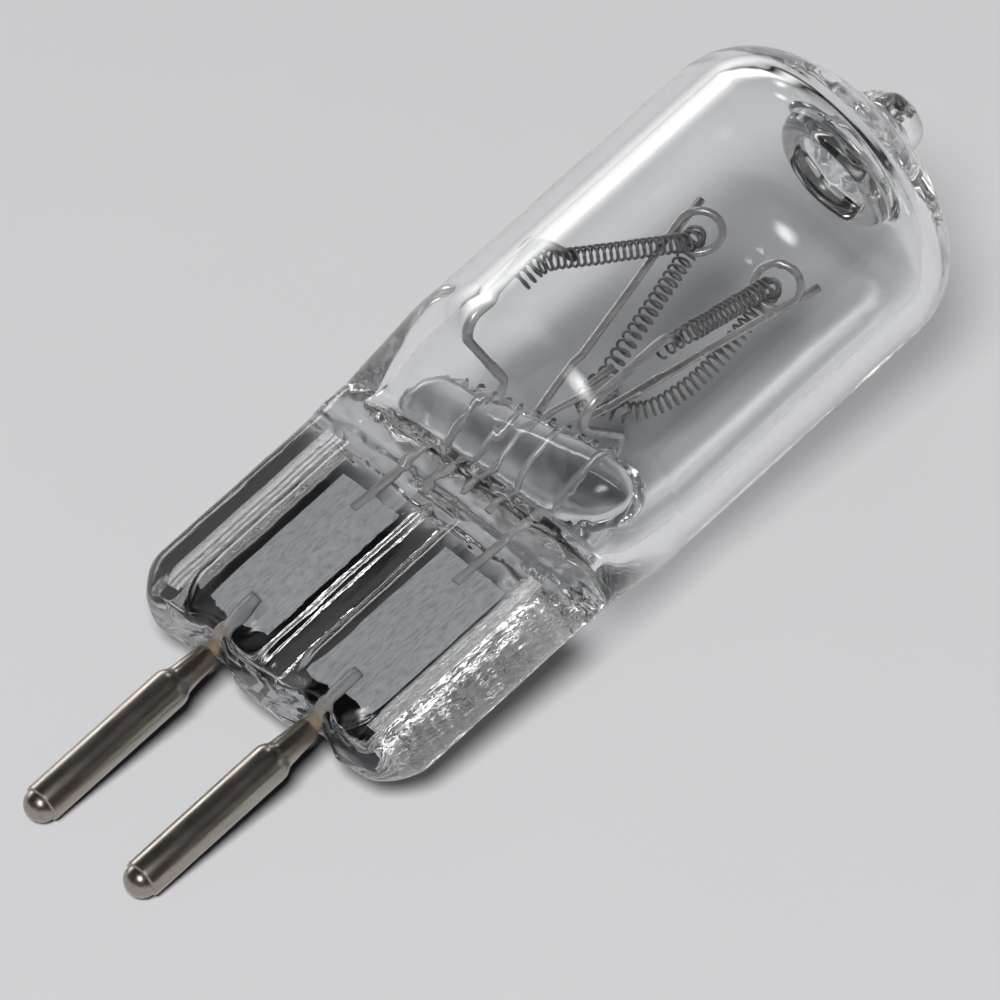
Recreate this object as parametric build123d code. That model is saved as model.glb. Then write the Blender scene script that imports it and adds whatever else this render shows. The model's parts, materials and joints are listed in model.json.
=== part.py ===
from build123d import *
import math
import os

# Quartz halogen capsule bulb with two pins. It is drawn with X along the bulb from the pin tips to the dome,
# Y across the two pins and Z square to the flat pinch, and is then laid down the way it comes to rest.
# Sizes are in millimetres.

# Contact pins and the wires inside them
PIN_SPACING = 5.33
PIN_RADIUS = 0.775
PIN_LENGTH = 7.6
PIN_TIP_LENGTH = 0.6
PIN_SHOULDER_LENGTH = 0.4
CONE_LENGTH = 1.6
CONE_START_RADIUS = 0.6
CONE_END_RADIUS = 0.45
PIN_WEB = 1.2
OUTER_WIRE_RADIUS = 0.35
OUTER_WIRE_SHOWN = 0.35

# Quartz envelope
TUBE_RADIUS = 6.55
WALL = 1.0
PINCH_LENGTH = 11.1
PINCH_HALF_WIDTH = 7.15
PINCH_HALF_HEIGHT = 1.6
PINCH_CORNER = 1.5
PINCH_EDGE = 0.75
PINCH_SIDE_ANGLE = 84.0
SHOULDER_LENGTH = 4.1
SHOULDER_OUTSIDE_CURVE = 0.9
SHOULDER_INSIDE_CURVE = 1.2
TUBE_LENGTH = 12.65
DOME_CROWN_RADIUS = 9.0
DOME_KNUCKLE_RADIUS = 3.2
TIP_RADIUS = 1.58
TIP_NECK_RADIUS = 1.3
TIP_HEIGHT = 1.6
STUB_RADIUS = 2.2
STUB_HEIGHT = 1.2
STUB_WALL = 1.0
FUNNEL_END_RADIUS = 0.3
FUNNEL_DEPTH = 1.4

# Channels pressed into both faces of the pinch
CHANNEL_DEPTH = 0.35
CHANNEL_END_MARGIN = 0.7
CHANNEL_TOP_MARGIN = 1.85
MIDDLE_CHANNEL_WIDTH = 2.3
SIDE_CHANNEL_WIDTH = 0.8
SIDE_CHANNEL_CENTRE = 5.3

# Foils in the pinch
FOIL_WIDTH = 2.9
FOIL_LENGTH = 6.8
FOIL_THICKNESS = 0.05
FOIL_MARGIN = 1.4
FOIL_OVERLAP = 0.9

# Quartz bridge that holds the wires
BRIDGE_RADIUS = 1.4
BRIDGE_LENGTH = 10.1
BRIDGE_HEIGHT = 2.2
BRIDGE_TILT = 8.0

# Inner leads
LEAD_RADIUS = 0.19
LEAD_BEND = 0.45
LEAD_RISE = 0.2
KINK_OUT = 0.13
LEFT_KINK_HEIGHT = 3.8
RIGHT_KINK_HEIGHT = 3.0
SPUD_LENGTH = 3.2
SPUD_LIFT = 0.2
SPUD_END = 1.4

# Hook supports and centre anchor
SUPPORT_RADIUS = 0.16
SUPPORT_SPACING = 2.66
SUPPORT_STUB = 1.75
HOOK_RADIUS = 0.86
HOOK_HEIGHT = 13.4
HOOK_SPACING = 4.08
HOOK_LEAN = 17.0
HOOK_TAIL = 1.3
ANCHOR_RADIUS = 0.68
ANCHOR_HEIGHT = 6.1
ANCHOR_DROP = 0.9
ANCHOR_TAIL = 0.9
RING_GAP = 0.05

# Filament
COIL_RADIUS = 0.33
COIL_WIRE = 0.12
COIL_PITCH = 0.37
COIL_STEPS = 8
COIL_GAP = 0.05
SAG_OUT = 1.6
SAG_DOWN = 0.7

# Stations along the bulb, from the pin tips
CONE_END = PIN_LENGTH + CONE_LENGTH
PINCH_BOTTOM = CONE_END + OUTER_WIRE_SHOWN
PINCH_TOP = PINCH_BOTTOM + PINCH_LENGTH
TUBE_START = PINCH_TOP + SHOULDER_LENGTH
DOME_START = TUBE_START + TUBE_LENGTH
FOIL_START = PINCH_BOTTOM + FOIL_MARGIN
FOIL_END = FOIL_START + FOIL_LENGTH
BRIDGE_X = PINCH_TOP + BRIDGE_HEIGHT
LEAD_Y = PIN_SPACING / 2
SUPPORT_Y = SUPPORT_SPACING / 2
HOOK_X = PINCH_TOP + HOOK_HEIGHT
HOOK_Y = HOOK_SPACING / 2
ANCHOR_X = PINCH_TOP + ANCHOR_HEIGHT
BEND_RADIUS = COIL_RADIUS + COIL_WIRE + SUPPORT_RADIUS + COIL_GAP


def station(x):
    # Plane square to the bulb, with its own axes across the pins and up from the pinch face
    return Plane(origin=(x, 0, 0), x_dir=(0, 1, 0), z_dir=(1, 0, 0))


def oval(half_width, half_height, side_angle):
    # Closed outline of four arcs that meet smoothly
    angle = math.radians(side_angle)
    apart = (half_width - half_height) / (math.cos(angle) + math.sin(angle) - 1)
    side = half_width - apart * math.cos(angle)
    x = half_width - side + side * math.cos(angle)
    y = side * math.sin(angle)
    outline = [
        ThreePointArc((x, -y), (half_width, 0), (x, y)),
        ThreePointArc((x, y), (0, half_height), (-x, y)),
        ThreePointArc((-x, y), (-half_width, 0), (-x, -y)),
        ThreePointArc((-x, -y), (0, -half_height), (x, -y)),
    ]
    return Face(Wire(outline))


def cap(top, rim, radius):
    # Round end of a turned piece: arc about the axis from its rim to its top
    rise = top - rim
    ball = (rise * rise + radius * radius) / (2 * abs(rise))
    centre = top - math.copysign(ball, rise)
    angle = math.degrees(math.atan2(radius, rim - centre))
    return CenterArc((centre, 0), ball, angle, (0 if rise > 0 else 180) - angle)


def shoulder(inset, curve):
    # Body that swells from the flat pinch to the round tube, sooner with a smaller curve
    sections = []
    for part in (0, 0.12, 0.34, 0.6, 0.82, 1):
        swell = math.sin(part * math.pi / 2) ** curve
        half_width = PINCH_HALF_WIDTH + (TUBE_RADIUS - PINCH_HALF_WIDTH) * part - inset
        half_height = PINCH_HALF_HEIGHT + (TUBE_RADIUS - PINCH_HALF_HEIGHT) * swell - inset
        angle = 45 + (PINCH_SIDE_ANGLE - 45) * (1 - part) ** 2
        sections.append(station(PINCH_TOP + part * SHOULDER_LENGTH) * oval(half_width, half_height, angle))
    return loft(sections)


def heel():
    # Rounded lower end of the pinch
    sections = []
    for part in (0, 0.12, 0.35, 0.65, 1):
        short = 1 - math.sqrt(1 - (1 - part) ** 2)
        half_width = PINCH_HALF_WIDTH - PINCH_CORNER * short
        half_height = PINCH_HALF_HEIGHT - PINCH_EDGE * short
        x = PINCH_BOTTOM + part * PINCH_CORNER
        sections.append(station(x) * oval(half_width, half_height, PINCH_SIDE_ANGLE))
    return loft(sections)


def dome_profile(inset):
    # Half outline of the tube and its dished dome, inset from the outside
    radius = TUBE_RADIUS - inset
    crown = DOME_CROWN_RADIUS - inset
    knuckle = DOME_KNUCKLE_RADIUS - inset
    reach = math.sqrt((crown - knuckle) ** 2 - (radius - knuckle) ** 2)
    centre = DOME_START - reach
    angle = math.degrees(math.atan2(radius - knuckle, reach))
    top = centre + crown
    outline = [
        Line((TUBE_START, 0), (TUBE_START, radius)),
        Line((TUBE_START, radius), (DOME_START, radius)),
        CenterArc((DOME_START, radius - knuckle), knuckle, 90, angle - 90),
        CenterArc((centre, 0), crown, angle, -angle),
        Line((top, 0), (TUBE_START, 0)),
    ]
    return make_face(Curve() + outline), top


def exhaust_tip(base):
    # Low mushroom left where the exhaust tube was sealed off
    root = base - WALL / 2
    top = base + TIP_HEIGHT
    rim = base + TIP_HEIGHT * 0.8
    rim_radius = TIP_NECK_RADIUS * 0.9
    outline = [
        Line((root, 0), (root, TIP_NECK_RADIUS)),
        Line((root, TIP_NECK_RADIUS), (base, TIP_NECK_RADIUS)),
        ThreePointArc((base, TIP_NECK_RADIUS), (base + TIP_HEIGHT * 0.5, TIP_RADIUS), (rim, rim_radius)),
        cap(top, rim, rim_radius),
        Line((top, 0), (root, 0)),
    ]
    return revolve(make_face(Curve() + outline), Axis.X)


def exhaust_stub(base):
    # Short inner end of the exhaust tube, with a rounded rim, standing into the hollow
    rim = base - STUB_HEIGHT
    bead = STUB_WALL / 2
    bore = STUB_RADIUS - STUB_WALL
    root = base + WALL / 4
    outline = [
        Line((root, bore), (root, STUB_RADIUS)),
        Line((root, STUB_RADIUS), (rim + bead, STUB_RADIUS)),
        ThreePointArc((rim + bead, STUB_RADIUS), (rim, STUB_RADIUS - bead), (rim + bead, bore)),
        Line((rim + bead, bore), (root, bore)),
    ]
    return revolve(make_face(Curve() + outline), Axis.X)


def exhaust_funnel(base):
    # Hollow that runs from the stub into the closed tip and narrows
    funnel = Cone(STUB_RADIUS - STUB_WALL, FUNNEL_END_RADIUS, FUNNEL_DEPTH)
    return Pos(base + FUNNEL_DEPTH / 2, 0, 0) * Rot(0, 90, 0) * funnel


def channels():
    # Round-ended channels in both faces of the pinch
    length = PINCH_LENGTH - CHANNEL_END_MARGIN - CHANNEL_TOP_MARGIN
    rows = [(0, MIDDLE_CHANNEL_WIDTH), (SIDE_CHANNEL_CENTRE, SIDE_CHANNEL_WIDTH)]
    rows.append((-SIDE_CHANNEL_CENTRE, SIDE_CHANNEL_WIDTH))
    middle = PINCH_BOTTOM + CHANNEL_END_MARGIN + length / 2
    cutters = Part()
    for face in (1, -1):
        for y, width in rows:
            slot = Pos(middle, y, 0) * SlotOverall(length, width)
            solid = extrude(slot, PINCH_HALF_HEIGHT)
            floor = PINCH_HALF_HEIGHT - CHANNEL_DEPTH
            cutters += Pos(0, 0, floor if face > 0 else -floor - PINCH_HALF_HEIGHT) * solid
    return cutters


def quartz_envelope(embedded):
    # One piece of clear quartz: pinch, shoulder, tube, dome and closed exhaust tip
    section = oval(PINCH_HALF_WIDTH, PINCH_HALF_HEIGHT, PINCH_SIDE_ANGLE)
    slab = extrude(station(PINCH_BOTTOM + PINCH_CORNER) * section, PINCH_LENGTH - PINCH_CORNER)
    outside, outside_top = dome_profile(0)
    inside, inside_top = dome_profile(WALL)
    body = slab - channels()
    body = body + heel() + shoulder(0, SHOULDER_OUTSIDE_CURVE) + revolve(outside, Axis.X)
    body += exhaust_tip(outside_top)
    hollow = revolve(inside, Axis.X) - exhaust_stub(inside_top)
    body -= shoulder(WALL, SHOULDER_INSIDE_CURVE) + hollow + exhaust_funnel(inside_top - WALL / 4)
    for piece in embedded:
        body -= piece
    return body


def pin_sleeve(side):
    # Contact pin with a domed tip, a swaged cone and a blind bore for the wire
    step = PIN_RADIUS * 0.86
    neck = PIN_LENGTH - PIN_SHOULDER_LENGTH
    bend = (neck + PIN_SHOULDER_LENGTH * 0.7, PIN_RADIUS - (PIN_RADIUS - CONE_START_RADIUS) * 0.3)
    outline = [
        cap(0, PIN_TIP_LENGTH, step),
        Line((PIN_TIP_LENGTH, step), (PIN_TIP_LENGTH, PIN_RADIUS)),
        Line((PIN_TIP_LENGTH, PIN_RADIUS), (neck, PIN_RADIUS)),
        ThreePointArc((neck, PIN_RADIUS), bend, (PIN_LENGTH, CONE_START_RADIUS)),
        Line((PIN_LENGTH, CONE_START_RADIUS), (CONE_END, CONE_END_RADIUS)),
        Line((CONE_END, CONE_END_RADIUS), (CONE_END, OUTER_WIRE_RADIUS)),
        Line((CONE_END, OUTER_WIRE_RADIUS), (PIN_WEB, OUTER_WIRE_RADIUS)),
        Line((PIN_WEB, OUTER_WIRE_RADIUS), (PIN_WEB, 0)),
        Line((PIN_WEB, 0), (0, 0)),
    ]
    return Pos(0, side * LEAD_Y, 0) * revolve(make_face(Curve() + outline), Axis.X)


def foil(side):
    # Thin foil whose upper face lies on the middle plane of the pinch
    plate = Box(FOIL_LENGTH, FOIL_WIDTH, FOIL_THICKNESS)
    return Pos(FOIL_START + FOIL_LENGTH / 2, side * LEAD_Y, -FOIL_THICKNESS / 2) * plate


def flat_on_foil(side, radius):
    # Space of a wire's lower half over the foil, taken off so that the wire lies flat on it
    block = Box(FOIL_LENGTH, 4 * radius, 2 * radius)
    return Pos(FOIL_START + FOIL_LENGTH / 2, side * LEAD_Y, -radius) * block


def outer_lead(side):
    # Wire from the bore of the sleeve to the lower end of the foil
    length = FOIL_START + FOIL_OVERLAP - PIN_WEB
    wire = extrude(station(PIN_WEB) * Pos(side * LEAD_Y, 0) * Circle(OUTER_WIRE_RADIUS), length)
    return wire - flat_on_foil(side, OUTER_WIRE_RADIUS)


def bridge_middle(y):
    # Station of the tilted bridge's middle line
    return BRIDGE_X - y * math.tan(math.radians(BRIDGE_TILT))


def bridge_half_height():
    # Half the bridge's height measured along the bulb
    return BRIDGE_RADIUS / math.cos(math.radians(BRIDGE_TILT))


def wire_along(path, radius):
    # Round wire along a smooth path
    start = Plane(origin=path @ 0, z_dir=path % 0)
    return sweep(start * Circle(radius), path=path)


def kink(side):
    # Upper bend of a lead
    height = LEFT_KINK_HEIGHT if side > 0 else RIGHT_KINK_HEIGHT
    return Vector(BRIDGE_X + bridge_half_height() + LEAD_RISE, side * (LEAD_Y + KINK_OUT), height)


def coil_start(side):
    # Place and direction of the lead's end inside the coil
    start = kink(side) + Vector(SPUD_LENGTH, 0, SPUD_LIFT)
    end = hook_bend(side)[0]
    return start, (end - start).normalized()


def inner_lead(side):
    # Wire from the foil through the bridge, bent up and then along to the coil
    y = side * LEAD_Y
    turn = bridge_middle(y) + bridge_half_height() + LEAD_RISE
    spud, along = coil_start(side)
    points = [Vector(FOIL_END - FOIL_OVERLAP, y, 0), Vector(turn, y, 0)]
    points += [kink(side), spud, spud + along * SPUD_END]
    path = FilletPolyline(*points, radius=LEAD_BEND)
    return wire_along(path.wire(), LEAD_RADIUS) - flat_on_foil(side, LEAD_RADIUS)


class Ring:
    # Wire that bends at its foot, runs up beside a ring, makes one full round and leaves as a short tail
    def __init__(self, foot, turn, centre, radius, inward, aside, tail):
        reach = centre - turn
        lean = math.asin(radius / reach.length)
        line = reach.normalized()
        square = (inward - line * inward.dot(line)).normalized()
        along = line * math.cos(lean) - square * math.sin(lean)
        into = square * math.cos(lean) + line * math.sin(lean)
        normal = along.cross(into)
        aside = normal * math.copysign(1, normal.dot(aside))
        lift = math.asin((2 * SUPPORT_RADIUS + RING_GAP) / (2 * radius))
        back = aside * math.sin(lift) - into * math.cos(lift)
        self.foot = foot
        self.turn = turn
        self.along = along
        self.aside = aside
        self.first = centre - into * radius
        self.top = centre + along * radius
        self.far = centre + into * radius
        self.base = self.far + back * radius - along * radius
        self.last = self.far + back * (2 * radius)
        self.end = self.last + along * tail

    def wire(self):
        edges = list(FilletPolyline(self.foot, self.turn, self.first, radius=LEAD_BEND).edges())
        edges.append(Edge.make_three_point_arc(self.first, self.top, self.far))
        edges.append(Edge.make_three_point_arc(self.far, self.base, self.last))
        edges.append(Edge.make_line(self.last, self.end))
        return wire_along(Wire(edges), SUPPORT_RADIUS)


def hook_ring(side):
    # Pigtail ring of a hook support, leaning a little from the plane of the pins
    y = side * SUPPORT_Y
    lean = math.radians(HOOK_LEAN)
    inward = Vector(0, -side * math.cos(lean), -side * math.sin(lean))
    foot = Vector(bridge_middle(y) - bridge_half_height() - SUPPORT_STUB, y, 0)
    turn = Vector(bridge_middle(y) + bridge_half_height() + LEAD_RISE, y, 0)
    centre = Vector(HOOK_X, side * HOOK_Y, 0)
    return Ring(foot, turn, centre, HOOK_RADIUS, inward, Vector(0, 0, -1), HOOK_TAIL)


def anchor_ring():
    # Small ring of the centre anchor, square to the coil's bottom bend
    foot = Vector(BRIDGE_X - bridge_half_height() - SUPPORT_STUB, 0, 0)
    turn = Vector(BRIDGE_X + bridge_half_height() + LEAD_RISE, 0, 0)
    centre = Vector(ANCHOR_X, 0, -ANCHOR_DROP)
    return Ring(foot, turn, centre, ANCHOR_RADIUS, Vector(0, 0, -1), Vector(0, 1, 0), ANCHOR_TAIL)


def hook_support(side):
    # Support wire through the bridge with its ring
    return hook_ring(side).wire()


def centre_anchor():
    # Short wire in the middle of the bridge with its ring
    return anchor_ring().wire()


def quartz_bridge(wires):
    # Round-ended rod across the inside, with the wires through it
    half = BRIDGE_LENGTH / 2 - BRIDGE_RADIUS
    rod = Cylinder(BRIDGE_RADIUS, 2 * half)
    for end in (1, -1):
        rod += Pos(0, 0, end * half) * Sphere(BRIDGE_RADIUS)
    rod = Pos(BRIDGE_X, 0, 0) * Rot(0, 0, BRIDGE_TILT) * Rot(90, 0, 0) * rod
    for wire in wires:
        rod -= wire
    return rod


def bend(centre, first, second, count=9):
    # Half round from centre plus first, past centre plus second, to centre less first
    angles = [math.pi * i / (count - 1) for i in range(count)]
    return [centre + first * math.cos(angle) + second * math.sin(angle) for angle in angles]


def hook_bend(side):
    # Half round of the coil about the near side of a hook ring, from above to below
    ring = hook_ring(side)
    return bend(ring.base, -ring.aside * BEND_RADIUS, ring.along * BEND_RADIUS)


def coil_line():
    # Middle line of the coil through both hook rings and the anchor ring
    start, along = coil_start(1)
    points = [start + along * LEAD_RADIUS] + hook_bend(1)
    ring = anchor_ring()
    points += bend(ring.top, ring.aside * BEND_RADIUS, -ring.along * BEND_RADIUS)[:5]
    low = points[-1]
    leg = hook_bend(-1)[::-1]
    top = leg[0]
    out = low + Vector(-COIL_RADIUS, -SAG_OUT, -SAG_DOWN)
    over = Vector((out.X + top.X) / 2, top.Y - COIL_RADIUS, out.Z - SAG_DOWN)
    for i in range(1, 12):
        t = i / 12
        u = 1 - t
        points.append(low * u**3 + out * (3 * t * u * u) + over * (3 * t * t * u) + top * t**3)
    start, along = coil_start(-1)
    return points + leg + [start + along * LEAD_RADIUS]


def coil_points():
    # Points of the coiled wire round the middle line
    line = Polyline(*coil_line())
    turns = round(line.length / COIL_PITCH)
    count = turns * COIL_STEPS
    points = []
    across = Vector(0, 1, 0)
    for i in range(count + 1):
        near = [line @ max(0, (i - 2) / count), line @ min(1, (i + 2) / count)]
        along = (near[1] - near[0]).normalized()
        across = (across - along * across.dot(along)).normalized()
        other = along.cross(across)
        angle = 2 * math.pi * i / COIL_STEPS
        middle = (near[0] + near[1]) / 2
        points.append(middle + (across * math.cos(angle) + other * math.sin(angle)) * COIL_RADIUS)
    return points


def filament():
    # Coiled wire of square section with a mitred corner at each point
    points = coil_points()
    steps = [(b - a).normalized() for a, b in zip(points, points[1:])]
    plane = Plane(origin=points[0], z_dir=steps[0])
    half = COIL_WIRE / 2
    corners = [(half, half), (-half, half), (-half, -half), (half, -half)]
    ring = [points[0] + plane.x_dir * x + plane.y_dir * y for x, y in corners]
    faces = [Face(Wire.make_polygon(ring[::-1]))]
    for i, step in enumerate(steps):
        square = step + steps[min(i + 1, len(steps) - 1)]
        moved = [p + step * ((points[i + 1] - p).dot(square) / step.dot(square)) for p in ring]
        for k in range(4):
            n = (k + 1) % 4
            faces.append(Face(Wire.make_polygon([ring[k], ring[n], moved[n], moved[k]])))
        ring = moved
    faces.append(Face(Wire.make_polygon(ring)))
    return Solid(Shell(faces))


def lowest(shape, tilt):
    # Height of the lowest point of a shape when the bulb is tilted nose up
    return (Rot(0, -tilt, 0) * shape).bounding_box().min.Z


def rest_tilt(glass, pin):
    # Tilt at which the pin tips and the underside of the tube touch one flat surface
    low = 0.0
    high = 45.0
    for _ in range(36):
        tilt = (low + high) / 2
        if lowest(pin, tilt) > lowest(glass, tilt):
            low = tilt
        else:
            high = tilt
    return (low + high) / 2


def main():
    os.makedirs("parts", exist_ok=True)
    pieces = {}
    for name, side in (("left", 1), ("right", -1)):
        pieces["pin_sleeve_" + name] = pin_sleeve(side)
        pieces["outer_lead_" + name] = outer_lead(side)
        pieces["foil_" + name] = foil(side)
        pieces["inner_lead_" + name] = inner_lead(side)
        pieces["hook_support_" + name] = hook_support(side)
    pieces["centre_anchor"] = centre_anchor()
    held = ("inner_lead", "hook_support", "centre_anchor")
    pieces["quartz_bridge"] = quartz_bridge([p for n, p in pieces.items() if n.startswith(held)])
    sealed = ("foil", "outer_lead", *held)
    pieces["quartz_envelope"] = quartz_envelope([p for n, p in pieces.items() if n.startswith(sealed)])
    pieces["filament"] = filament()
    turn = Rot(0, -rest_tilt(pieces["quartz_envelope"], pieces["pin_sleeve_left"]), 0)
    laid = {name: turn * piece for name, piece in pieces.items()}
    outer = ("quartz_envelope", "pin_sleeve_left", "pin_sleeve_right")
    boxes = [laid[name].bounding_box() for name in outer]
    x = (min(b.min.X for b in boxes) + max(b.max.X for b in boxes)) / 2
    z = min(b.min.Z for b in boxes)
    for name, piece in laid.items():
        export_step(Pos(-x, 0, -z) * piece, f"parts/{name}.step")


if __name__ == "__main__":
    main()
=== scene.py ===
import json
import math

import bpy
from bpy.props import FloatProperty, FloatVectorProperty, IntProperty, PointerProperty
from bpy.types import Operator, Panel, PropertyGroup
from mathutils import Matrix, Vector, noise


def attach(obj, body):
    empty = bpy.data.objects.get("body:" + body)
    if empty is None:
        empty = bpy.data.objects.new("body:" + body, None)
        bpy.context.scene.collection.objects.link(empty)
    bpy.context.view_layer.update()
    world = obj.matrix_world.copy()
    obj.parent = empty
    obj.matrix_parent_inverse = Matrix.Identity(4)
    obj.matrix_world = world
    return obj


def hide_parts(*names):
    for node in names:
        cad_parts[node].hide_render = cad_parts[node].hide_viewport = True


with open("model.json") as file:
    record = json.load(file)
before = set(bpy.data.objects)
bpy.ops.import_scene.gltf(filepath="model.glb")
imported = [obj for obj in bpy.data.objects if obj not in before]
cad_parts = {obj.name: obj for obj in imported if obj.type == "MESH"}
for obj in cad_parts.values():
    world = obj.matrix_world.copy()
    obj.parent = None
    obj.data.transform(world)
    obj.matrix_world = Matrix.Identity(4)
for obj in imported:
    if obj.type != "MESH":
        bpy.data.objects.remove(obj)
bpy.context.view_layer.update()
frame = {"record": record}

bl_info = {
    "name": "Quartz capsule bulb",
    "version": (1, 0, 0),
    "blender": (4, 5, 0),
    "location": "View3D > Sidebar > Bulb",
    "description": "Makes the glass, wires, coil and pins of a quartz capsule bulb over its solids",
    "category": "Object",
}

MM = 0.001
SIDES = (("left", 1), ("right", -1))

# ALONG runs from the pin tips to the dome, ACROSS over the two pins and UP square to the pinch
PIN_MOUNT = frame["record"]["mounts"][0]
ALONG = -Vector(PIN_MOUNT["axis"]).normalized()
ACROSS = Vector((0.0, 1.0, 0.0))
UP = ALONG.cross(ACROSS)
BARREL_MIDDLE = 3.9
PIN_TIP = Vector(PIN_MOUNT["pos_m"]) - ALONG * BARREL_MIDDLE * MM
PIN_TIP.y = 0.0

# Measures of the pressed faces that shapes and finishes share, in millimetres from the middle
PAD_MIDDLE = 3.025
CHANNEL_MIDDLE = 5.3
RIM_START, RIM_FULL = 5.8, 6.1
KNURL = 26.0


def place(a, w, n):
    """Point of the model from millimetres along the bulb, across the pins and up from the pinch."""
    return PIN_TIP + (ALONG * a + ACROSS * w + UP * n) * MM


def size(name, text, value):
    """Length that a user can change, with its default in millimetres."""
    return FloatProperty(
        name=name, description=text, default=value * MM,
        subtype="DISTANCE", unit="LENGTH", precision=5,
    )


def turn(name, text, value):
    """Angle that a user can change, with its default in degrees."""
    return FloatProperty(
        name=name, description=text, default=math.radians(value), subtype="ANGLE",
    )


def colour(name, text, value):
    """Colour that a user can change."""
    return FloatVectorProperty(
        name=name, description=text, default=value, subtype="COLOR", size=3, min=0.0, max=1.0,
    )


class BulbSizes(PropertyGroup):
    tube_radius: size("Tube radius", "Outside radius of the glass tube", 6.55)
    wall: size("Wall", "Thickness of the glass wall", 1.0)
    pinch_half_width: size("Pinch half width", "Half the width of the flat pinch", 7.148)
    pinch_half_height: size("Pinch half height", "Half the thickness of the flat pinch", 1.6)
    pinch_start: size("Pinch start", "Station of the lower end of the pinch", 9.55)
    pinch_end: size("Pinch end", "Station where the shoulder begins", 20.65)
    pressed_end: size("Pressed end", "Station of the upper edge of the pressed faces", 18.8)
    tube_start: size("Tube start", "Station where the round tube begins", 24.75)
    dome_start: size("Dome start", "Station where the dome begins", 37.4)
    crown_radius: size("Crown radius", "Radius of the middle of the dome", 9.0)
    knuckle_radius: size("Knuckle radius", "Radius of the dome's edge", 3.2)
    channel_depth: size("Channel depth", "Depth of the channels pressed into the pinch", 0.35)
    bead_height: size("Bead height", "Height of the knurled beads in the channels", 0.18)
    lip: size("Lip", "How far the lower lip bulges between the pins", 0.5)
    bridge_radius: size("Bridge radius", "Radius of the quartz bridge", 1.4)
    bridge_length: size("Bridge length", "Length of the quartz bridge", 10.1)
    bridge_station: size("Bridge station", "Station of the middle of the bridge", 22.85)
    bridge_tilt: turn("Bridge tilt", "Tilt of the bridge", 8.0)
    pin_gap: size("Pin gap", "Distance between the pin centres", 5.33)
    pin_radius: size("Pin radius", "Radius of the pin barrel", 0.775)
    outer_wire: size("Outer wire", "Radius of the wire between pin and pinch", 0.35)
    foil_width: size("Foil width", "Width of the foils", 2.9)
    lead_radius: size("Lead radius", "Radius of the inner lead wire", 0.19)
    left_kink: size("Left kink", "Height of the left lead's upper bend", 3.8)
    right_kink: size("Right kink", "Height of the right lead's upper bend", 3.0)
    support_radius: size("Support radius", "Radius of the hook and anchor wire", 0.16)
    hook_radius: size("Hook radius", "Radius of the pigtail rings", 0.86)
    hook_lean: turn("Hook lean", "Lean of the pigtail rings from the plane of the pins", 17.0)
    anchor_radius: size("Anchor radius", "Radius of the anchor's ring", 0.68)
    coil_radius: size("Coil radius", "Middle radius of the coiled wire", 0.33)
    coil_wire: size("Coil wire", "Thickness of the coiled wire", 0.12)
    coil_steps: IntProperty(
        name="Coil steps", description="Points in one turn of the coil", default=16, min=8, max=32,
    )


class BulbColours(PropertyGroup):
    quartz: colour("Quartz", "Tint of the clear glass", (0.985, 0.992, 0.995))
    nickel: colour("Nickel", "Colour of the pins", (0.40, 0.362, 0.318))
    heat: colour("Heat tint", "Brown tint of the hot wire ends", (0.33, 0.25, 0.18))
    foil: colour("Foil", "Colour of the foils", (0.40, 0.415, 0.435))
    wire: colour("Wire", "Colour of the inner wires", (0.42, 0.42, 0.425))
    coil: colour("Coil", "Colour of the coiled wire", (0.23, 0.23, 0.235))
    floor: colour("Floor", "Colour of the floor", (0.56, 0.56, 0.57))


def sizes():
    return bpy.context.scene.bulb_sizes


def colours():
    return bpy.context.scene.bulb_colours


def mm(name):
    """Size of that name in millimetres."""
    return getattr(sizes(), name) / MM


def smooth(low, high, value):
    """Soft step from 0 at low to 1 at high."""
    t = min(max((value - low) / (high - low), 0.0), 1.0)
    return t * t * (3 - 2 * t)


def grain(scale, *at):
    """Smooth uneven value between about -1 and 1."""
    return noise.noise(Vector(at) * scale)


def deselect():
    bpy.ops.object.select_all(action="DESELECT")


def begin(name, add, **options):
    """New object of that name, alone selected."""
    deselect()
    add(**options)
    piece = bpy.context.object
    piece.name = piece.data.name = name
    return piece


MERGE_DISTANCE = 1e-7


def close_up(piece, flip=False):
    """Closes seams and poles, turns faces outwards, or inwards for a hollow, and shades smooth."""
    deselect()
    piece.select_set(True)
    bpy.context.view_layer.objects.active = piece
    bpy.ops.object.mode_set(mode="EDIT")
    bpy.ops.mesh.select_all(action="SELECT")
    bpy.ops.mesh.remove_doubles(threshold=MERGE_DISTANCE)
    bpy.ops.mesh.normals_make_consistent(inside=flip)
    bpy.ops.object.mode_set(mode="OBJECT")
    bpy.ops.object.shade_smooth()
    return piece


def wrap(name, rings, flip=False):
    """Skin over rings of points: a grid is added and its rows are laid on the rings."""
    around, rows = len(rings[0]), len(rings) - 1
    grid = {"x_subdivisions": around, "y_subdivisions": rows, "size": 2}
    piece = begin(name, bpy.ops.mesh.primitive_grid_add, **grid)
    for v in piece.data.vertices:
        i = round((v.co.x + 1) / 2 * around) % around
        j = round((v.co.y + 1) / 2 * rows)
        v.co = rings[j][i]
    return close_up(piece, flip)


def thread(name, points, radius, roundness):
    """Round wire along a row of points."""
    curve = begin(name, bpy.ops.curve.primitive_nurbs_path_add, location=(0, 0, 0)).data
    curve.splines.clear()
    line = curve.splines.new("POLY")
    line.points.add(len(points) - 1)
    for p, q in zip(line.points, points):
        p.co = (*q, 1)
    curve.dimensions = "3D"
    curve.twist_mode = "MINIMUM"
    curve.bevel_depth = radius * MM
    curve.bevel_resolution = roundness
    curve.use_fill_caps = True
    bpy.ops.object.convert(target="MESH")
    piece = bpy.context.object
    piece.name = piece.data.name = name
    return close_up(piece)


TURNED_SIDES = 64
TURNED_CREASE = math.radians(32)


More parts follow.
